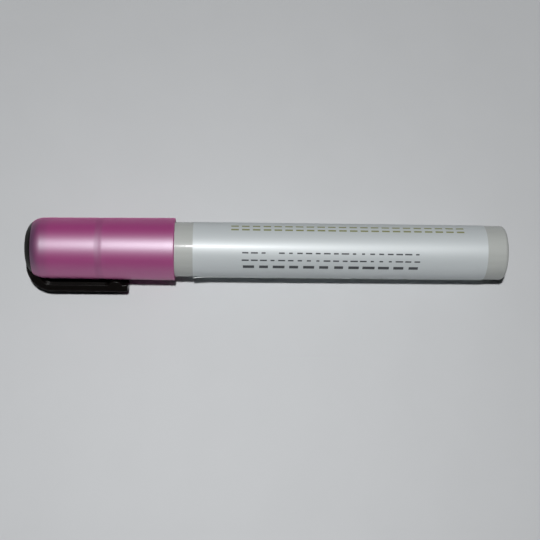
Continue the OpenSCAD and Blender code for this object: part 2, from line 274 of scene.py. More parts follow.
class Finish(Graph):
    """A material on the Principled shader, with patterns that read Object coordinates in millimetres."""

    def __init__(self, name):
        self.material = bpy.data.materials.new(name)
        self.material.use_nodes = True
        super().__init__(self.material.node_tree)
        self.shader = self.tree.nodes["Principled BSDF"]
        metres = self.add("ShaderNodeTexCoord", out="Object")
        self.place = self.add("ShaderNodeVectorMath", {"operation": "SCALE"}, {0: metres, "Scale": 1 / MM})
        self.station = 0 - self.add("ShaderNodeSeparateXYZ", None, {0: self.place})

    def give(self, **sockets):
        """Values or links for the shader's own sockets, with _ for a space in a name."""
        for key, value in sockets.items():
            self.feed(self.shader.inputs[key.replace("_", " ")], value)
        return self

    def noise(self, size, detail=2.0, stretch=(1, 1, 1)):
        """Soft noise with features of about size millimetres, drawn out along the axes by stretch."""
        scale = tuple(1 / (size * s) for s in stretch)
        scaled = self.add("ShaderNodeMapping", None, {0: self.place, "Scale": scale})
        return self.add("ShaderNodeTexNoise", None, {"Vector": scaled, "Scale": 1.0, "Detail": detail})

    def distance(self, point):
        """Distance from a point (x, y, z), in millimetres."""
        ends = {0: self.place, 1: point}
        return self.add("ShaderNodeVectorMath", {"operation": "DISTANCE"}, ends, out="Value")

    def shades(self, amount, tint, dark, light):
        """A colour that runs from dark times itself to light times itself."""
        first, second = [[min(c * factor, 1) for c in tint] for factor in (dark, light)]
        return self.mix(amount, first, second)

    def relief(self, height, depth):
        """A bump onto the shader's normal, as deep as that many millimetres."""
        bump = self.add("ShaderNodeBump", None, {"Strength": 1.0, "Distance": depth * MM, "Height": height})
        return self.give(Normal=bump)


def pearl_finish(sizes, colours):
    """Pearl plastic: fine flake in the colour, and the black plug showing through at the end."""
    through_start, through_more, through_end = 132.6, 135.6, 138.4
    ring_reach_squared, speck_at, speck_r = 2.2, (-111.0, -2.6, 8.9), 0.16
    cool_white, deep_pink = (0.9, 0.92, 1.0), (0.8, 0.08, 0.38)
    f = Finish("cap_pearl")
    flake = f.noise(size=0.09, detail=1.0)
    cloud = f.noise(size=5.0, stretch=(3, 1, 1)).ease(0.3, 0.7)
    skin = f.noise(size=0.5, detail=1.0)
    plug = f.station.ease(through_start, through_more) * 0.3 + f.station.ease(through_more, through_end) * 0.6
    off = f.station - (sizes.web + sizes.web_t / 2)
    ring = 1 - (off * off).ease(0.0, ring_reach_squared)
    speck = 1 - f.distance(speck_at).ease(speck_r * 0.6, speck_r)
    base = f.shades(cloud * 0.16 + flake * 0.12, colours.pearl, dark=1.0, light=1.25)
    # Darker where the black plug shows through, and also darker at the sink ring: painted shade of its
    # shallow dip
    base = f.mix(plug + ring * 0.22, base, colours.shade)
    f.give(Base_Color=f.mix(speck * 0.8, base, colours.shade))
    f.give(Roughness=flake * 0.06 + ring * 0.09 + 0.46, IOR=2.5, Specular_Tint=cool_white)
    f.give(Sheen_Weight=0.4, Sheen_Roughness=0.5, Sheen_Tint=deep_pink)
    return f.relief(skin + flake * 0.3, depth=0.006)


def barrel_finish(colours):
    """Glossy moulded grey with faint flow streaks."""
    f = Finish("barrel_grey")
    flow = f.noise(size=1.4, detail=3.0, stretch=(9, 1, 1))
    peel = f.noise(size=0.6, detail=1.0)
    f.give(Base_Color=f.shades(flow, colours.barrel, dark=0.93, light=1.06), Roughness=flow * 0.08 + 0.4)
    f.give(Specular_IOR_Level=0.3, Coat_Weight=0.42, Coat_Roughness=0.1)
    return f.relief(peel, depth=0.003)


def film_finish(colours):
    """Satin film with a fine grain along the barrel."""
    f = Finish("label_film")
    grain = f.noise(size=0.07, stretch=(14, 1, 1))
    cloud = f.noise(size=6.0, stretch=(4, 1, 1))
    tone = grain * 0.5 + cloud * 0.5
    f.give(Base_Color=f.shades(tone, colours.film, dark=0.94, light=1.04), Roughness=grain * 0.08 + 0.46)
    f.give(Metallic=0.1, IOR=1.62, Coat_Weight=0.12, Coat_Roughness=0.25)
    return f.relief(grain + cloud * 0.4, depth=0.004)


def black_finish(colours):
    """Gloss black plastic with a trace of moulding grain and rubbed spots, duller on the crown."""
    crown_start, crown_end = 138.8, 140.0
    f = Finish("clip_black")
    peel = f.noise(size=0.45)
    rub = f.noise(size=2.2, detail=4.0, stretch=(3, 1, 1)).ease(0.55, 0.8)
    crown = f.station.ease(crown_start, crown_end)
    f.give(Base_Color=f.shades(rub, colours.black, dark=1.0, light=1.8))
    f.give(Roughness=rub * 0.1 + peel * 0.05 + crown * 0.3 + 0.2, Specular_IOR_Level=0.1)
    return f.relief(peel, depth=0.004)


def print_finish(name, ink):
    """Flat printing ink, a little uneven."""
    f = Finish(name)
    lay = f.noise(size=0.12)
    return f.give(Base_Color=f.shades(lay, ink, dark=0.85, light=1.15), Roughness=lay * 0.1 + 0.4)


def moulded_finish(name, tint, roughness):
    """Moulded plastic: faint swirls in the colour and a fine skin."""
    f = Finish(name)
    swirl = f.noise(size=1.8, detail=4.0, stretch=(2, 1, 1))
    skin = f.noise(size=0.35)
    f.give(Base_Color=f.shades(swirl, tint, dark=0.9, light=1.05), Roughness=swirl * 0.1 + roughness)
    return f.relief(skin, depth=0.005)


def fibre_finish(colours):
    """Bonded fibre: strands along the nib, stained darker towards the writing edge."""
    stain_start, stain_end = 121.5, 128.0
    f = Finish("nib_fibre")
    strand = f.noise(size=0.1, detail=3.0, stretch=(18, 1, 1))
    wet = f.noise(size=1.6, detail=3.0)
    stain = (f.station + wet * 3.0).ease(stain_start, stain_end)
    dry = f.shades(strand, colours.fibre, dark=0.82, light=1.0)
    f.give(Base_Color=f.mix(stain * 0.75, dry, colours.pearl), Roughness=strand * 0.15 + 0.7)
    return f.relief(strand, depth=0.03)


def steel_finish(name, colours, stretch):
    """Bright steel with fine drawing lines or polishing marks."""
    f = Finish(name)
    line = f.noise(size=0.08, stretch=stretch)
    f.give(Base_Color=f.shades(line, colours.steel, dark=0.85, light=1.0))
    f.give(Metallic=1.0, Roughness=line * 0.15 + 0.16)
    return f.relief(line, depth=0.004)


def table_finish(sizes, colours):
    """Pale table top with a painted pool of light in front of the cap, that fades into the room far from the
    pen.
    """
    # Centre and reach of the painted pool of light on the table
    painted_light_at, painted_light_reach = (-90, -55, 0), 150
    fade_start, fade_end, far_tone = 100, 480, (0.42, 0.428, 0.437)
    f = Finish("table_pale")
    mottle = f.noise(size=14.0, detail=3.0)
    # The tone is partly random mottle and partly the painted pool of light in front of the cap
    tone = mottle * 0.25 + (1 - f.distance(painted_light_at).ease(0, painted_light_reach)) * 0.75
    away = f.distance((-sizes.apex / 2, 0, 0)).ease(fade_start, fade_end)
    f.give(Base_Color=f.shades(tone, colours.table, dark=0.92, light=1.08), Roughness=0.7)
    f.give(Emission_Color=f.mix(away * f.looked_at(), (0, 0, 0), far_tone), Emission_Strength=1.0)
    return f.give(Specular_IOR_Level=0.2)


def clamped(value):
    """A value held between 0 and 1."""
    return min(max(value, 0), 1)


def rounded(corners, steps=6):
    """Outline through corners (station, radius, fillet), with each fillet drawn as an arc."""
    points = []
    for i, (s, r, fillet) in enumerate(corners):
        here = Vector((s, r))
        before = Vector(corners[i - 1][:2]) - here
        after = Vector(corners[(i + 1) % len(corners)][:2]) - here
        if not fillet:
            points.append((s, r))
            continue
        half = before.angle(after) / 2
        away = fillet / math.tan(half)
        centre = here + (before.normalized() + after.normalized()).normalized() * (fillet / math.sin(half))
        start = here + before.normalized() * away - centre
        sweep = start.angle_signed(here + after.normalized() * away - centre)
        for step in range(steps + 1):
            turn = Matrix.Rotation(-sweep * step / steps, 2)
            points.append(tuple(centre + turn @ start))
    return points


def arc(centre_s, centre_r, radius, start, end, steps):
    """Points of an arc, with angles in radians from the pen's axis."""
    turns = [start + (end - start) * i / steps for i in range(steps + 1)]
    return [(centre_s + radius * math.cos(a), centre_r + radius * math.sin(a)) for a in turns]


def across(turn, radius):
    """Y and Z of a point at a turn and radius."""
    return -radius * math.cos(turn), -radius * math.sin(turn)


def new_mesh(name, points, faces):
    """A closed mesh from points in millimetres as (station, y, z), with its normals outwards."""
    mesh = bpy.data.meshes.new(name)
    mesh.from_pydata([(-s * MM, y * MM, z * MM) for s, y, z in points], [], faces)
    shape = bmesh.new()
    shape.from_mesh(mesh)
    bmesh.ops.remove_doubles(shape, verts=shape.verts, dist=MERGE)
    bmesh.ops.recalc_face_normals(shape, faces=shape.faces)
    shape.to_mesh(mesh)
    shape.free()
    return mesh


def lathe(name, outline):
    """The solid that an outline of (station, radius) makes when it is turned round the axis."""
    points, faces, rings = [], [], []
    for s, r in outline:
        count = 1 if r < ON_AXIS else AROUND
        rings.append(range(len(points), len(points) + count))
        points += [(s, *across(2 * math.pi * i / AROUND, r)) for i in range(count)]
    for first, second in zip(rings, rings[1:] + rings[:1]):
        if len(first) == len(second) == 1:
            continue
        for i in range(AROUND):
            j = (i + 1) % AROUND
            corners = ((first, i), (first, j), (second, j), (second, i))
            face = [ring[k % len(ring)] for ring, k in corners]
            faces.append(list(dict.fromkeys(face)))
    return new_mesh(name, points, faces)


def loft(name, rings):
    """The solid between rings of (station, y, z), closed by a flat face at each end."""
    count = len(rings[0])
    faces = [list(range(count)), [(len(rings) - 1) * count + i for i in range(count)]]
    for k in range(len(rings) - 1):
        for i in range(count):
            j = (i + 1) % count
            faces.append([k * count + i, k * count + j, (k + 1) * count + j, (k + 1) * count + i])
    return new_mesh(name, [point for ring in rings for point in ring], faces)


def piece(mesh, finish, body, nodes=(), sharp=32):
    """Puts a mesh into the scene as a piece that rides on a body and stands for CAD nodes."""
    for face in mesh.polygons:
        face.use_smooth = True
    mesh.set_sharp_from_angle(angle=math.radians(sharp))
    mesh.materials.clear()
    mesh.materials.append(finish.material)
    obj = bpy.data.objects.new(mesh.name, mesh)
    bpy.context.scene.collection.objects.link(obj)
    if nodes:
        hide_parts(*nodes)
    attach(obj, body)
    return obj


def dress(node, finish):
    """Gives a CAD node a finish of its own."""
    obj = frame["nodes"][node]
    obj.data.materials.clear()
    obj.data.materials.append(finish.material)


def from_nodes(name, tree, inputs):
    """A plain mesh from a Geometry Nodes tree, with its inputs set by name."""
    holder = bpy.data.objects.new(name, bpy.data.meshes.new(name))
    bpy.context.scene.collection.objects.link(holder)
    modifier = holder.modifiers.new(name, "NODES")
    modifier.node_group = tree
    for item in tree.interface.items_tree:
        if item.item_type == "SOCKET" and item.in_out == "INPUT" and item.name in inputs:
            modifier[item.identifier] = inputs[item.name]
    shown = holder.evaluated_get(bpy.context.evaluated_depsgraph_get())
    mesh = bpy.data.meshes.new_from_object(shown)
    holder.modifiers.remove(modifier)
    bpy.data.meshes.remove(holder.data)
    if not mesh.polygons:
        raise RuntimeError(name + " came out empty")
    mesh.name = name
    return mesh


class Pattern(Graph):
    """A Geometry Nodes tree with named inputs: numbers, counts and a material."""

    def __init__(self, name, numbers, counts=()):
        tree = bpy.data.node_groups.new(name, "GeometryNodeTree")
        super().__init__(tree)
        tree.interface.new_socket("Geometry", in_out="OUTPUT", socket_type="NodeSocketGeometry")
        kinds = {**dict.fromkeys(numbers, "Float"), **dict.fromkeys(counts, "Int"), "Material": "Material"}
        for key, kind in kinds.items():
            tree.interface.new_socket(key, in_out="INPUT", socket_type="NodeSocket" + kind)
        self.given = self.add("NodeGroupInput").out

    def end(self, shape):
        """Closes the tree: instances made real, a material set, and the result handed out."""
        real = self.add("GeometryNodeRealizeInstances", None, {0: shape})
        smooth = self.add("GeometryNodeSetShadeSmooth", None, {0: real})
        done = self.add("GeometryNodeSetMaterial", None, {0: smooth, "Material": self.given("Material")})
        self.add("NodeGroupOutput", None, {0: done})
        return self.tree


def spring_pattern():
    """A coil of round wire that climbs along the pen."""
    turn_steps, wire_sides = 48, 14
    p = Pattern("spring_coil", ("Start", "Height", "Coil radius", "Wire radius", "Turns"))
    helix = {
        "Resolution": turn_steps,
        "Rotations": p.given("Turns"),
        "Start Radius": p.given("Coil radius"),
        "End Radius": p.given("Coil radius"),
        "Height": p.given("Height"),
    }
    coil = p.add("GeometryNodeCurveSpiral", None, helix)
    start = p.add("ShaderNodeCombineXYZ", None, {0: 0 - p.given("Start")})
    place = {"Geometry": coil, "Translation": start, "Rotation": (0, math.radians(-90), 0)}
    laid = p.add("GeometryNodeTransform", None, place)
    section = {"Resolution": wire_sides, "Radius": p.given("Wire radius")}
    wire = p.add("GeometryNodeCurvePrimitiveCircle", None, section)
    return p.end(p.add("GeometryNodeCurveToMesh", None, {0: laid, 1: wire, "Fill Caps": True}))


def marks_pattern():
    """Rows of small plain bars, laid on a grid, varied in length and wrapped round the barrel."""
    numbers = ("Middle", "Span", "Band", "Turn", "Radius", "Ink", "Bar height", "Shortest", "Longest", "Kept")
    p = Pattern("label_marks", numbers, ("Columns", "Rows", "Seed"))
    sheet = {
        "Size X": p.given("Span"),
        "Size Y": p.given("Band"),
        "Vertices X": p.given("Columns"),
        "Vertices Y": p.given("Rows"),
    }
    grid = p.add("GeometryNodeMeshGrid", None, sheet)
    unit_bar = {"Size": (1, 1, 1), "Vertices X": 3, "Vertices Y": 4, "Vertices Z": 2}
    bar = p.add("GeometryNodeMeshCube", None, unit_bar)
    limits = {2: p.given("Shortest"), 3: p.given("Longest"), "Seed": p.given("Seed")}
    long = p.add("FunctionNodeRandomValue", {"data_type": "FLOAT"}, limits, out=1)
    chance = {"Probability": p.given("Kept"), "Seed": p.given("Seed") + 1}
    kept = p.add("FunctionNodeRandomValue", {"data_type": "BOOLEAN"}, chance, out=3)
    scale = p.add("ShaderNodeCombineXYZ", None, {0: long, 1: p.given("Bar height"), 2: p.given("Ink")})
    bars = {"Points": grid, "Selection": kept, "Instance": bar, "Scale": scale}
    laid = p.add("GeometryNodeInstanceOnPoints", None, bars)
    real = p.add("GeometryNodeRealizeInstances", None, {0: laid})
    spot = p.add("ShaderNodeSeparateXYZ", None, {0: p.add("GeometryNodeInputPosition")})
    turn = p.given("Turn") - spot.out("Y") / p.given("Radius")
    reach = p.given("Radius") + spot.out("Z")
    x, y, z = spot.out("X") - p.given("Middle"), 0 - reach * turn.cos(), 0 - reach * turn.sin()
    wrapped = p.add("ShaderNodeCombineXYZ", None, {0: x, 1: y, 2: z})
    return p.end(p.add("GeometryNodeSetPosition", None, {"Geometry": real, "Position": wrapped}))


def barrel_mesh(sizes):
    """The barrel: a tube closed at the rear, with a gate dimple in its flat face and a chamfered rim."""
    gate_d, gate_r, gate_edge_r = 0.3, 0.9, 1.2
    chamfer = 0.4
    outline = rounded(
        [
            (gate_d, 0, 0),
            (gate_d, gate_r, 0.2),
            (0, gate_edge_r, 0.1),
            (0, sizes.barrel_r, sizes.rear_edge),
            (sizes.barrel_end - chamfer, sizes.barrel_r, 0.15),
            (sizes.barrel_end, sizes.barrel_r - chamfer, 0.15),
            (sizes.barrel_end, sizes.bore_r, 0),
            (sizes.floor_t, sizes.bore_r, 0.4),
            (sizes.floor_t, 0, 0),
        ],
        steps=10,
    )
    return lathe("barrel_tube", outline)


def film_mesh(sizes):
    """The label: one full turn of film and an overlap whose front corner has come unstuck."""
    first_edge, lap, climb = math.radians(42), math.radians(30), math.radians(9)
    stuck_share, corner_length = 0.35, 4.5
    turn_steps, along_steps = 300, 44
    full, film = 2 * math.pi, sizes.glue_t + sizes.film_t
    points, faces = [], []
    for i in range(turn_steps + 1):
        gone = (full + lap) * i / turn_steps
        over = clamped((gone - full + climb) / climb)
        near_edge = clamped((gone - full - lap * stuck_share) / (lap * (1 - stuck_share)))
        for j in range(along_steps + 1):
            share = 0.5 - 0.5 * math.cos(math.pi * j / along_steps)
            s = sizes.film_start + (sizes.film_end - sizes.film_start) * share
            near_end = clamped((s - sizes.film_end + corner_length) / corner_length)
            lift = sizes.film_lift * near_edge**2 * near_end**2
            under = sizes.barrel_r + SLIP + film * over * over * (3 - 2 * over) + lift
            for r in (under, under + film - SLIP):
                points.append((s, *across(first_edge - gone, r)))

    def at(i, j, side):
        return (i * (along_steps + 1) + j) * 2 + side

    for i in range(turn_steps):
        for j in range(along_steps):
            for side in (0, 1):
                faces.append([at(i, j, side), at(i + 1, j, side), at(i + 1, j + 1, side), at(i, j + 1, side)])
        for j in (0, along_steps):
            faces.append([at(i, j, 0), at(i + 1, j, 0), at(i + 1, j, 1), at(i, j, 1)])
    for i in (0, turn_steps):
        for j in range(along_steps):
            faces.append([at(i, j, 0), at(i, j + 1, 0), at(i, j + 1, 1), at(i, j, 1)])
    return new_mesh("label_film", points, faces)


def print_bars(name, pattern, finish, radius, lengths, turn, grid, seed, kept=1.0):
    """One block of printed bars on the label, with lengths in millimetres and its turn in degrees."""
    ink_t = 0.02
    inputs = {key: value * MM for key, value in {**lengths, "Radius": radius, "Ink": ink_t}.items()}
    inputs.update({"Columns": grid[0], "Rows": grid[1], "Seed": seed, "Kept": kept})
    inputs.update({"Turn": math.radians(turn), "Material": finish.material})
    return piece(from_nodes(name, pattern, inputs), finish, "barrel")


def shoulder_place(sizes):
    """Station and radius of the centre of the shoulder's arc, and the angle where it meets the crown."""
    crown_s = sizes.apex - sizes.crown_r
    centre_r = sizes.top_r - sizes.shoulder_r
    centre_s = crown_s + math.sqrt((sizes.crown_r - sizes.shoulder_r) ** 2 - centre_r**2)
    return centre_s, centre_r, math.atan2(centre_r, centre_s - crown_s)


def shell_mesh(sizes):
    """The cap's shell: drafted side with its sink ring, shoulder, stepped bore and softened mouth."""
    centre_s, centre_r, _ = shoulder_place(sizes)
    end_angle = math.acos((sizes.shell_end - centre_s) / sizes.shoulder_r)
    half_web, web_end, web_r, end_step = sizes.web_t / 2, sizes.web + sizes.web_t, 7.28, 0.12
    rear_rows, ring_rows, front_rows, shoulder_rows = 7, 16, 6, 14

    def side(s):
        draft = (sizes.top_r - sizes.mouth_r) * (s - sizes.mouth) / (centre_s - sizes.mouth)
        off = (s - sizes.web - half_web) / half_web
        return sizes.mouth_r + draft - sizes.sink * (0.5 + 0.5 * math.cos(math.pi * min(abs(off), 1)))

    stations = [sizes.mouth + (sizes.web - sizes.mouth) * i / rear_rows for i in range(1, rear_rows)]
    stations += [sizes.web + sizes.web_t * i / ring_rows for i in range(ring_rows + 1)]
    stations += [web_end + (centre_s - web_end) * i / front_rows for i in range(1, front_rows)]
    lip = rounded(
        [
            (sizes.web, sizes.cap_bore_r, 0),
            (sizes.mouth, sizes.cap_bore_r, 0.22),
            (sizes.mouth, sizes.mouth_r, 0.3),
            (stations[0], side(stations[0]), 0),
        ]
    )
    outside = [(s, side(s)) for s in stations[1:]]
    outside += arc(centre_s, centre_r, sizes.shoulder_r, math.pi / 2, end_angle, shoulder_rows)
    inside = [
        (sizes.shell_end, outside[-1][1] - end_step),
        (sizes.shell_end, sizes.plug_bore_r),
        (web_end, sizes.plug_bore_r),
        (web_end, web_r),
        (sizes.web, web_r),
    ]
    return lathe("cap_shell_pearl", lip + outside + inside)


def crown_mesh(sizes):
    """The end plug: crown, shoulder and the skirt inside the shell."""
    skirt_start, skirt_bore_r = sizes.shell_end - 4, 6.67
    crown_rows, shoulder_rows = 16, 14
    centre_s, centre_r, meet = shoulder_place(sizes)
    end_angle = math.acos((sizes.shell_end - centre_s) / sizes.shoulder_r)
    outline = arc(sizes.apex - sizes.crown_r, 0, sizes.crown_r, 0, meet, crown_rows)
    outline += arc(centre_s, centre_r, sizes.shoulder_r, meet, end_angle, shoulder_rows)[1:]
    outline += [
        (sizes.shell_end, sizes.plug_bore_r),
        (skirt_start, sizes.plug_bore_r),
        (skirt_start, skirt_bore_r),
        (sizes.shell_end, skirt_bore_r),
        (sizes.shell_end, 0),
    ]
    return lathe("end_plug", outline)


def clip_sections(sizes):
    """Sections of the clip from its root to its tip.

    Each has an inner and an outer point (station, distance from the axis), an inset and a groove's depth.
    """
    root_top, root_bottom, buried = sizes.apex - 0.4, sizes.shell_end - 1.5, sizes.shell_end + 0.2
    bend_r, inner_r, tip_r, quarter = 7.5, 3.2, 0.5, math.pi / 2
    bend_s, bend_d = root_top - bend_r, sizes.clip_outer - bend_r
    inner_s, inner_d = root_bottom - inner_r, sizes.clip_inner - inner_r
    bump_s, bump_half, bump_h = sizes.clip_tip + 3.7, 2.0, 1.1
    bump_r = (bump_half**2 + bump_h**2) / (2 * bump_h)
    groove_start, groove_end, groove_run = inner_s + 2.0, bump_s + bump_half + 0.6, 0.9
    arm_start, arm_step, tip_flat = bend_s - 0.6, 2.0, 0.06
    bend_rows, arm_rows, groove_rows, bump_rows, tip_rows = 16, 7, 6, 23, 6

    def groove(s):
        into = clamped(min(groove_start - s, s - groove_end) / groove_run)
        return sizes.groove_d * math.sqrt(into * (2 - into))

    def bump(s):
        off = abs(s - bump_s)
        return math.sqrt(bump_r**2 - off**2) - (bump_r - bump_h) if off < bump_half else 0

    # The root starts inside the crown and grows out of it
    sections = [
        ((buried, 3.4), (root_top - 0.25, 2.0), 0, 0),
        ((buried, 6.9), (root_top - 0.03, 3.6), 0, 0),
    ]
    inner_bend = arc(inner_s, inner_d, inner_r, 0, quarter, bend_rows)
    outer_bend = arc(bend_s, bend_d, bend_r, 0, quarter, bend_rows)
    sections += [(inner, outer, 0, groove(inner[0])) for inner, outer in zip(inner_bend, outer_bend)]
    stations = [arm_start - arm_step * i for i in range(arm_rows)]
    stations += [groove_end + groove_run * (1 - i / groove_rows) for i in range(groove_rows + 1)]
    stations += [bump_s + bump_half * (1.1 - 0.1 * i) for i in range(bump_rows)]
    stations += [sizes.clip_tip + tip_r]
    sections += [((s, sizes.clip_inner - bump(s)), (s, sizes.clip_outer), 0, groove(s)) for s in stations]
    tip = [(tip_r * (1 - v), tip_r * (1 - u)) for u, v in arc(0, 0, 1, 0, quarter, tip_rows)[1:]]
    for short, inset in tip + [(0, tip_r + tip_flat)]:
        s = sizes.clip_tip + short
        sections.append(((s, sizes.clip_inner), (s, sizes.clip_outer), inset, 0))
    return sections


def clip_ring(inner, outer, inset, groove, sizes):
    """One rounded section of the clip, as points (station, distance, sideways).

    Its inside has a rib between two grooves, which are all but flat where their depth is nothing.
    """
    start, end = Vector(inner), Vector(outer)
    out = (end - start).normalized()
    thick = (end - start).length
    half, rib = sizes.clip_w / 2 - inset, sizes.rib_w / 2
    edge_r, soft_r, flat_d = 0.3, 0.25, 2e-5
    side_left, floor_left, soft_share = 0.02, 0.05, 0.4
    edge = min(edge_r, (thick - 2 * inset) / 2 - side_left)
    wall = min(rib + sizes.groove_w, half - edge - floor_left)
    deep = max(groove, flat_d)
    soft = min(soft_r, deep * soft_share)
    corners = [
        (thick - inset, half, edge),
        (thick - inset, -half, edge),
        (inset, -half, edge),
        (inset, -wall, soft),
        (inset + deep, -wall, soft),
        (inset + deep, -rib, soft),
        (inset, -rib, soft),
        (inset, rib, soft),
        (inset + deep, rib, soft),
        (inset + deep, wall, soft),
        (inset, wall, soft),
        (inset, half, edge),
    ]
    return [(*(start + out * u), v) for u, v in rounded(corners, steps=5)]


def clip_mesh(sizes):
    """The pocket clip: root, bend, arm, grip bump and rounded tip as one loft."""
    turn = sizes.clip_turn
    out = Vector((-math.cos(turn), -math.sin(turn)))
    beside = Vector((math.sin(turn), -math.cos(turn)))
    rings = [clip_ring(*section, sizes) for section in clip_sections(sizes)]
    return loft("clip_loft", [[(s, *(out * d + beside * v)) for s, d, v in ring] for ring in rings])


def joined(first, second, name):
    """One closed mesh from two that overlap, joined at a scale of millimetres."""
    objs = []
    for part in (first, second):
        part.transform(Matrix.Scale(1 / MM, 4))
        objs.append(bpy.data.objects.new(part.name, part))
        bpy.context.scene.collection.objects.link(objs[-1])
    union = objs[0].modifiers.new("union", "BOOLEAN")
    union.operation = "UNION"
    union.solver = "MANIFOLD"
    union.object = objs[1]
    shown = objs[0].evaluated_get(bpy.context.evaluated_depsgraph_get())
    mesh = bpy.data.meshes.new_from_object(shown)
    if len(mesh.polygons) < len(first.polygons):
        raise RuntimeError(name + " lost its surface")
    for part in (first, second):
        bpy.data.meshes.remove(part)
    mesh.transform(Matrix.Scale(MM, 4))
    mesh.name = name
    return mesh


def nose_mesh(sizes):
    """The front section: spigot, flange, sealing land and tapered nose, hollow for the valve and the nib."""
    rear, front = node_ends("front_section")
    rim = sizes.barrel_end
    flange_end, flange_r = rim + 1.6, 7.6
    land_end, land_r = rim + 6.8, 6.7
    taper_r, front_r = 6.3, 4.35
    room_end, room_r, valve_r = rim - 5, 5.2, 4.4
    nib_bore_r = sizes.nib_r + 0.05
    outline = rounded(
        [
            (rear, room_r, 0.3),
            (rear, sizes.bore_r, 0.3),
            (rim, sizes.bore_r, 0),
            (rim, flange_r, 0.2),
            (flange_end, flange_r, 0.3),
            (flange_end, land_r, 0.25),
            (land_end, land_r, 0.18),
            (land_end, taper_r, 0.18),
            (front, front_r, 0.45),
            (front, nib_bore_r, 0.2),
            (rim, nib_bore_r, 0),
            (rim, valve_r, 0),
            (room_end, valve_r, 0),
            (room_end, room_r, 0),
        ]
    )
    return lathe("front_section_nose", outline)


def nib_ring(station, radius, cut, inset):
    """Section of the nib: a circle cut off flat at a height, with softened corners, drawn in by an inset."""
    middle = (max(cut, -radius) + radius) / 2
    around, soft, level = 256, 0.8, 1e-6
    ring = []
    for i in range(around):
        y, z = across(2 * math.pi * i / around, 1)
        curve = math.sqrt(radius**2 - (middle * y) ** 2) - middle * z
        flat = (cut - middle) / z if z < -level else math.inf
        blend = max(soft - abs(curve - flat), 0) / soft
        reach = min(curve, flat) - blend**2 * soft / 4 - inset
        ring.append((station, y * reach, middle + z * reach))
    return ring


def nib_mesh(sizes):
    """The chisel nib with softened edges and the hole for the valve's pin."""
    r, rear, front = sizes.nib_r, sizes.barrel_end, sizes.nib_end
    hole_r, hole_end, rear_soft, front_soft, front_flat = 1.0, rear + 3, 0.2, 0.25, 0.04
    edge_t, slope, chisel_run, chisel_rows = 0.9, math.tan(math.radians(42)), 6.2, 30
    chisel_end = front - front_soft
    quarter = arc(0, 0, 1, 0, math.pi / 2, 6)
    sections = [(hole_end, hole_r, 0), (rear, hole_r, 0)]
    sections += [(rear + rear_soft * (1 - u), r - rear_soft * (1 - v), 0) for u, v in quarter]
    sections += [(chisel_end - chisel_run * (1 - i / chisel_rows), r, 0) for i in range(chisel_rows + 1)]
    sections += [(front - front_soft * (1 - v), r, front_soft * (1 - u)) for u, v in quarter[1:]]
    sections += [(front, r, front_soft + front_flat)]
    rings = [nib_ring(s, radius, r - edge_t - (front - s) * slope, inset) for s, radius, inset in sections]
    return loft("nib_fibre_chisel", rings)


def spring_mesh(finish):
    """The valve spring, as long as its CAD node."""
    first, last = node_ends("valve_spring")
    wire_r, coil_r, turns = 0.3, 2.5, 6.0
    inputs = {
        "Start": (first + wire_r) * MM,
        "Height": (last - first - 2 * wire_r) * MM,
        "Coil radius": coil_r * MM,
        "Wire radius": wire_r * MM,
        "Turns": turns,
        "Material": finish.material,
    }
    return from_nodes("valve_spring_coil", spring_pattern(), inputs)


def lay_table(scene, sizes, finish):
    """Lays the table where the pen rests on it: at the cap's mouth and the label's rear end."""
    film_r = sizes.barrel_r + sizes.glue_t + sizes.film_t
    rise = (sizes.mouth_r - film_r) / (sizes.mouth - sizes.film_start)
    reach = 1500
    ends = (-reach, reach)
    corners = [(s, y, (sizes.mouth - s) * rise - sizes.mouth_r) for s in ends for y in ends]
    mesh = bpy.data.meshes.new("table_top")
    mesh.from_pydata([(-s * MM, y * MM, z * MM) for s, y, z in corners], [], [[0, 1, 3, 2]])
    mesh.materials.append(finish.material)
    table = bpy.data.objects.new("table_top", mesh)
    scene.collection.objects.link(table)


def set_camera(scene):
    """Sets the camera at the photograph's viewing angle."""
    lift, swing, nod, roll = [math.radians(a) for a in (70.5, -2.35, -1.115, 0.66)]
    middle, distance = -0.0818, 0.3
    along = Vector((1, 0, 0))
    up = Vector((0, math.sin(lift), math.cos(lift)))
    away = Vector((0, -math.cos(lift), math.sin(lift)))
    facing = Matrix((along, up, away)).transposed() @ Matrix.Rotation(swing, 3, "Y")
    facing = facing @ Matrix.Rotation(nod, 3, "X") @ Matrix.Rotation(roll, 3, "Z")
    camera = bpy.data.objects.new("camera", bpy.data.cameras.new("camera"))
    camera.data.sensor_width = 36
    camera.data.sensor_fit = "HORIZONTAL"
    camera.data.lens = 67.6
    camera.data.clip_start = 0.01
    camera.matrix_world = Matrix.Translation(along * middle + away * distance) @ facing.to_4x4()
    scene.collection.objects.link(camera)
    scene.camera = camera


def hang_lamp(scene):
    """Hangs a small round lamp above the cap's mouth."""
    height, distance, target = math.radians(84), 0.5, Vector((-0.099, 0, 0))
    lamp = bpy.data.lights.new("key_light", "AREA")
    lamp.shape = "DISK"
    lamp.size = 0.032
    lamp.energy = 2.45
    place = target + Vector((0, -math.cos(height), math.sin(height))) * distance
    facing = (place - target).to_track_quat("Z", "Y").to_matrix().to_4x4()
    key = bpy.data.objects.new("key_light", lamp)
    key.matrix_world = Matrix.Translation(place) @ facing
    scene.collection.objects.link(key)


def light_room(scene):
    """Fills the room with soft light that is brighter near the horizon."""
    low, high = 0.02, 0.22
    horizon, ceiling, dim = (0.5, 0.51, 0.52), (0.04, 0.042, 0.045), 0.2
    world = bpy.data.worlds.new("room")
    world.use_nodes = True
    room = Graph(world.node_tree)
    way = room.add("ShaderNodeTexCoord", out="Generated")
    height = room.add("ShaderNodeSeparateXYZ", None, {0: way}, out="Z")
    background = world.node_tree.nodes["Background"]
    room.feed(background.inputs["Color"], room.mix(height.ease(low, high), horizon, ceiling))
    room.feed(background.inputs["Strength"], room.looked_at() * (1 - dim) + dim)
    scene.world = world


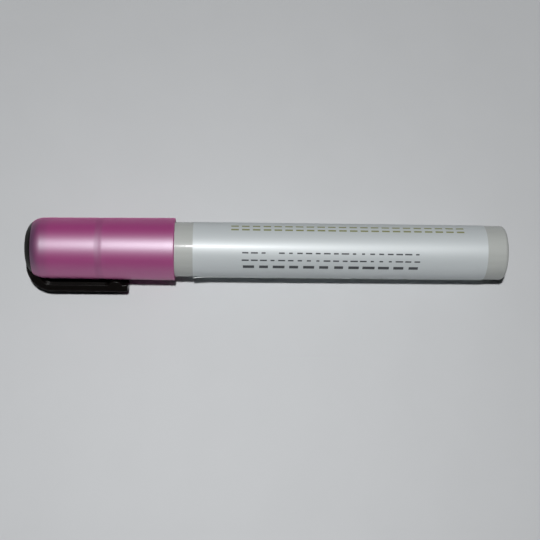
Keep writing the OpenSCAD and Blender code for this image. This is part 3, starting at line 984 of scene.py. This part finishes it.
class MARKER_OT_barrel(bpy.types.Operator):
    """Turns the grey barrel with its closed, rounded rear end"""

    bl_idname = "marker.barrel"
    bl_label = "Barrel"

    def execute(self, context):
        sizes, colours = chosen(context)
        piece(barrel_mesh(sizes), barrel_finish(colours), "barrel", ["barrel"])
        return {"FINISHED"}


class MARKER_OT_label(bpy.types.Operator):
    """Wraps the label film round the barrel and prints plain marks on it"""

    bl_idname = "marker.label"
    bl_label = "Label"

    def execute(self, context):
        sizes, colours = chosen(context)
        piece(film_mesh(sizes), film_finish(colours), "barrel", ["label"])
        radius = sizes.barrel_r + sizes.glue_t + sizes.film_t + SLIP
        marks = marks_pattern()
        dark = print_finish("print_dark", colours.ink)
        olive = print_finish("print_olive", colours.olive)
        rules = {"Middle": 52, "Span": 50, "Band": 2.2, "Bar height": 0.42, "Shortest": 0.8, "Longest": 2.2}
        stripe = {"Middle": 52, "Span": 48, "Band": 0, "Bar height": 0.95, "Shortest": 2.4, "Longest": 3.6}
        bars = {"Middle": 47, "Span": 66, "Band": 1.7, "Bar height": 0.6, "Shortest": 2.2, "Longest": 2.2}
        print_bars("label_rules", marks, dark, radius, rules, turn=-57, grid=(20, 2), seed=3, kept=0.9)
        print_bars("label_stripe", marks, dark, radius, stripe, turn=-34, grid=(12, 1), seed=4)
        print_bars("label_bars", marks, olive, radius, bars, turn=-123, grid=(22, 2), seed=5)
        return {"FINISHED"}


class MARKER_OT_front(bpy.types.Operator):
    """Makes the writing end: front section and chisel nib"""

    bl_idname = "marker.front"
    bl_label = "Writing end"

    def execute(self, context):
        sizes, colours = chosen(context)
        white = moulded_finish("section_white", colours.white, roughness=0.3)
        piece(nose_mesh(sizes), white, "barrel", ["front_section"])
        piece(nib_mesh(sizes), fibre_finish(colours), "nib", ["nib"], sharp=70)
        return {"FINISHED"}


class MARKER_OT_valve(bpy.types.Operator):
    """Winds the valve spring and finishes the valve's pieces and the mixing ball"""

    bl_idname = "marker.valve"
    bl_label = "Valve and mixing ball"

    def execute(self, context):
        _, colours = chosen(context)
        steel = steel_finish("spring_steel", colours, stretch=(1, 6, 6))
        spring = piece(spring_mesh(steel), steel, "barrel", ["valve_spring"])
        first, last = node_ends("valve_spring")
        pump = next(joint for joint in frame["joints"] if joint["name"] == "nib_pump")
        travel = pump["range_m"][1] / MM
        1 - travel / (last - first)
        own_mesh(spring)
        dress("valve_seat", moulded_finish("valve_white", colours.white, roughness=0.35))
        dress("valve_stem", moulded_finish("stem_blue", colours.stem, roughness=0.3))
        dress("valve_seal", moulded_finish("seal_rubber", colours.rubber, roughness=0.6))
        dress("spring_cage", moulded_finish("cage_white", colours.white, roughness=0.35))
        dress("mixing_ball", steel_finish("ball_steel", colours, stretch=(1, 1, 1)))
        return {"FINISHED"}


class MARKER_OT_cap(bpy.types.Operator):
    """Turns the pearl cap's shell and finishes the sealing cup inside it"""

    bl_idname = "marker.cap"
    bl_label = "Cap"

    def execute(self, context):
        sizes, colours = chosen(context)
        piece(shell_mesh(sizes), pearl_finish(sizes, colours), "cap", ["cap_shell"])
        dress("inner_cap", moulded_finish("inner_white", colours.white, roughness=0.4))
        return {"FINISHED"}


class MARKER_OT_clip(bpy.types.Operator):
    """Moulds the black end plug with its pocket clip"""

    bl_idname = "marker.clip"
    bl_label = "End plug and clip"

    def execute(self, context):
        sizes, colours = chosen(context)
        mesh = joined(crown_mesh(sizes), clip_mesh(sizes), "end_plug_clip")
        piece(mesh, black_finish(colours), "cap", ["clip_plug"])
        return {"FINISHED"}


class MARKER_OT_stage(bpy.types.Operator):
    """Sets the pale table, the soft light and the camera"""

    bl_idname = "marker.stage"
    bl_label = "Table, light and camera"

    def execute(self, context):
        scene = context.scene
        sizes, colours = chosen(context)
        lay_table(scene, sizes, table_finish(sizes, colours))
        set_camera(scene)
        hang_lamp(scene)
        light_room(scene)
        scene.view_settings.view_transform = "Standard"
        return {"FINISHED"}


class MARKER_PT_panel(bpy.types.Panel):
    """Lists the marker's building steps, sizes and colours"""

    bl_idname = "MARKER_PT_panel"
    bl_label = "Paint Marker"
    bl_space_type = "VIEW_3D"
    bl_region_type = "UI"
    bl_category = "Marker"

    def draw(self, context):
        layout = self.layout
        for step in STEPS:
            layout.operator(step.bl_idname)
        for group in (context.scene.marker_sizes, context.scene.marker_colours):
            box = layout.box()
            for name in group.__annotations__:
                box.prop(group, name)


STEPS = (
    MARKER_OT_barrel,
    MARKER_OT_label,
    MARKER_OT_front,
    MARKER_OT_valve,
    MARKER_OT_cap,
    MARKER_OT_clip,
    MARKER_OT_stage,
)
CLASSES = (MarkerSizes, MarkerColours, *STEPS, MARKER_PT_panel)


def register():
    """Adds the classes and the scene's two groups of settings."""
    for cls in CLASSES:
        bpy.utils.register_class(cls)
    bpy.types.Scene.marker_sizes = bpy.props.PointerProperty(type=MarkerSizes)
    bpy.types.Scene.marker_colours = bpy.props.PointerProperty(type=MarkerColours)


def unregister():
    """Takes away what register adds."""
    del bpy.types.Scene.marker_colours
    del bpy.types.Scene.marker_sizes
    for cls in reversed(CLASSES):
        bpy.utils.unregister_class(cls)


def main():
    """Builds the marker and its stage."""
    register()
    bpy.ops.marker.barrel()
    bpy.ops.marker.label()
    bpy.ops.marker.front()
    bpy.ops.marker.valve()
    bpy.ops.marker.cap()
    bpy.ops.marker.clip()
    bpy.ops.marker.stage()


if __name__ == "__main__":
    main()
